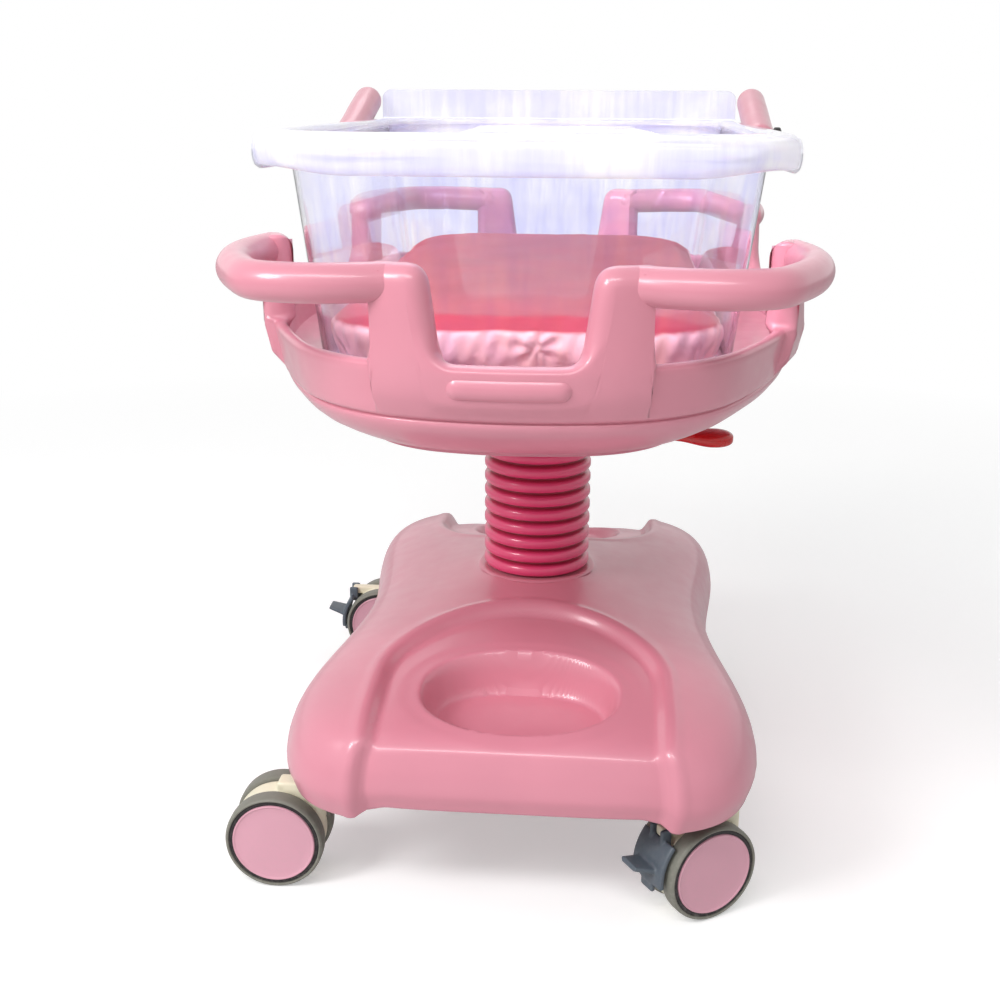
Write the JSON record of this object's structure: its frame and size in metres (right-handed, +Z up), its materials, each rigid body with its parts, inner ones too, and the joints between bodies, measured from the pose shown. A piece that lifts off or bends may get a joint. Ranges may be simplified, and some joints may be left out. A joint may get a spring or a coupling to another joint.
{
  "type": "hospital bassinet",
  "caption": "Hospital bassinet: clear tub with mattress in a moulded tray with corner grips, on a lifting column with bellows and a castered base with bowls.",
  "frame": {"origin": "on the floor, at the middle of the whole plan, 18.5 mm to the left of the lifting column", "axes": "+Z up, +Y towards the head end, +X to the right seen from the foot end"},
  "size_m": [0.5914, 0.9146, 0.78],
  "materials": {
    "pink_abs": "glossy moulded ABS",
    "white_panel": "matt",
    "painted_steel": "powder coated",
    "zinc_steel": "zinc plated",
    "chrome_steel": "polished",
    "white_nylon": "matt",
    "black_paint": "gloss",
    "black_plastic": "matt",
    "grey_plastic": "matt",
    "cream_plastic": "satin",
    "tyre_rubber": "satin",
    "bellows_rubber": "satin",
    "red_plastic": "glossy",
    "clear_acrylic": "clear, polished",
    "mattress_satin": "satin"
  },
  "bodies": {
    "base": {"base_cover": "pink_abs", "base_frame": "painted_steel", "base_screws": "zinc_steel", "column_outer_tube": "zinc_steel", "column_upper_bush": "white_nylon", "gas_spring_cylinder": "black_paint", "bellows_clamp_ring": "grey_plastic", "bellows": "bellows_rubber", "front_left_caster_stem": "zinc_steel", "front_right_caster_stem": "zinc_steel", "rear_left_caster_stem": "zinc_steel", "rear_right_caster_stem": "zinc_steel"},
    "carriage": {"column_inner_tube": "chrome_steel", "column_lower_bush": "white_nylon", "gas_spring_rod": "chrome_steel", "column_head": "zinc_steel"},
    "tray": {"tray_shell": "pink_abs", "tray_pan": "white_panel", "tray_screws": "zinc_steel", "tilt_bracket": "zinc_steel", "tilt_pin": "chrome_steel", "lever_bracket": "zinc_steel", "lever_pin": "chrome_steel"},
    "release_lever": {"release_lever": "red_plastic"},
    "tub": {"tub": "clear_acrylic", "right_head_grip": "pink_abs", "left_head_grip": "pink_abs", "grip_knobs": "black_plastic"},
    "mattress": {"mattress": "mattress_satin"},
    "front_left_caster": {"front_left_caster_hood": "cream_plastic", "front_left_caster_axle": "zinc_steel"},
    "front_left_wheel_near": {"front_left_caster_tyre_near": "tyre_rubber", "front_left_caster_disc_near": "pink_abs"},
    "front_left_wheel_far": {"front_left_caster_tyre_far": "tyre_rubber", "front_left_caster_disc_far": "pink_abs"},
    "front_right_caster": {"front_right_caster_hood": "cream_plastic", "front_right_caster_axle": "zinc_steel"},
    "front_right_wheel_near": {"front_right_caster_tyre_near": "tyre_rubber", "front_right_caster_disc_near": "pink_abs"},
    "front_right_wheel_far": {"front_right_caster_tyre_far": "tyre_rubber", "front_right_caster_disc_far": "pink_abs"},
    "front_right_pedal": {"front_right_brake_pedal": "grey_plastic"},
    "rear_left_caster": {"rear_left_caster_hood": "cream_plastic", "rear_left_caster_axle": "zinc_steel"},
    "rear_left_wheel_near": {"rear_left_caster_tyre_near": "tyre_rubber", "rear_left_caster_disc_near": "pink_abs"},
    "rear_left_wheel_far": {"rear_left_caster_tyre_far": "tyre_rubber", "rear_left_caster_disc_far": "pink_abs"},
    "rear_left_pedal": {"rear_left_brake_pedal": "grey_plastic"},
    "rear_right_caster": {"rear_right_caster_hood": "cream_plastic", "rear_right_caster_axle": "zinc_steel"},
    "rear_right_wheel_near": {"rear_right_caster_tyre_near": "tyre_rubber", "rear_right_caster_disc_near": "pink_abs"},
    "rear_right_wheel_far": {"rear_right_caster_tyre_far": "tyre_rubber", "rear_right_caster_disc_far": "pink_abs"}
  },
  "joints": [
    {"name": "height_lift", "type": "slide", "parent": "base", "child": "carriage", "axis": [0, 0, 1], "range_m": [0, 0.18], "deforming": ["bellows"]},
    {"name": "tray_tilt", "type": "hinge", "parent": "carriage", "child": "tray", "pos_m": [0.0185, 0, 0.498], "axis": [1, 0, 0], "range_deg": [-12, 12]},
    {"name": "release_lever_pull", "type": "hinge", "parent": "tray", "child": "release_lever", "pos_m": [0.1145, -0.2, 0.461], "axis": [0, -1, 0], "range_deg": [0, 6], "stiffness_Nm_per_rad": 0.6, "springref_deg": -8.59},
    {"name": "tub_lift_off", "type": "slide", "parent": "tray", "child": "tub", "axis": [0, 0, 1], "range_m": [0, 0.3]},
    {"name": "mattress_lift_out", "type": "slide", "parent": "tub", "child": "mattress", "axis": [0, 0, 1], "range_m": [0, 0.25]},
    {"name": "front_left_swivel", "type": "hinge", "parent": "base", "child": "front_left_caster", "pos_m": [-0.1895, -0.285, 0.112], "axis": [0, 0, 1], "continuous": true},
    {"name": "front_left_wheel_near_spin", "type": "hinge", "parent": "front_left_caster", "child": "front_left_wheel_near", "pos_m": [-0.2255, -0.285, 0.05], "axis": [0, 1, 0], "continuous": true},
    {"name": "front_left_wheel_far_spin", "type": "hinge", "parent": "front_left_caster", "child": "front_left_wheel_far", "pos_m": [-0.2255, -0.285, 0.05], "axis": [0, 1, 0], "continuous": true},
    {"name": "front_right_swivel", "type": "hinge", "parent": "base", "child": "front_right_caster", "pos_m": [0.2265, -0.285, 0.112], "axis": [0, 0, 1], "continuous": true},
    {"name": "front_right_wheel_near_spin", "type": "hinge", "parent": "front_right_caster", "child": "front_right_wheel_near", "pos_m": [0.19597, -0.30408, 0.05], "axis": [-0.5299, 0.848, 0], "continuous": true},
    {"name": "front_right_wheel_far_spin", "type": "hinge", "parent": "front_right_caster", "child": "front_right_wheel_far", "pos_m": [0.19597, -0.30408, 0.05], "axis": [-0.5299, 0.848, 0], "continuous": true},
    {"name": "front_right_brake", "type": "hinge", "parent": "front_right_caster", "child": "front_right_pedal", "pos_m": [0.16092, -0.32598, 0.0928], "axis": [-0.5299, 0.848, 0], "range_deg": [0, 14]},
    {"name": "rear_left_swivel", "type": "hinge", "parent": "base", "child": "rear_left_caster", "pos_m": [-0.1775, 0.285, 0.112], "axis": [0, 0, 1], "continuous": true},
    {"name": "rear_left_wheel_near_spin", "type": "hinge", "parent": "rear_left_caster", "child": "rear_left_wheel_near", "pos_m": [-0.2135, 0.285, 0.05], "axis": [0, 1, 0], "continuous": true},
    {"name": "rear_left_wheel_far_spin", "type": "hinge", "parent": "rear_left_caster", "child": "rear_left_wheel_far", "pos_m": [-0.2135, 0.285, 0.05], "axis": [0, 1, 0], "continuous": true},
    {"name": "rear_left_brake", "type": "hinge", "parent": "rear_left_caster", "child": "rear_left_pedal", "pos_m": [-0.25483, 0.285, 0.0928], "axis": [0, 1, 0], "range_deg": [0, 14]},
    {"name": "rear_right_swivel", "type": "hinge", "parent": "base", "child": "rear_right_caster", "pos_m": [0.2145, 0.285, 0.112], "axis": [0, 0, 1], "continuous": true},
    {"name": "rear_right_wheel_near_spin", "type": "hinge", "parent": "rear_right_caster", "child": "rear_right_wheel_near", "pos_m": [0.1785, 0.285, 0.05], "axis": [0, 1, 0], "continuous": true},
    {"name": "rear_right_wheel_far_spin", "type": "hinge", "parent": "rear_right_caster", "child": "rear_right_wheel_far", "pos_m": [0.1785, 0.285, 0.05], "axis": [0, 1, 0], "continuous": true}
  ]
}
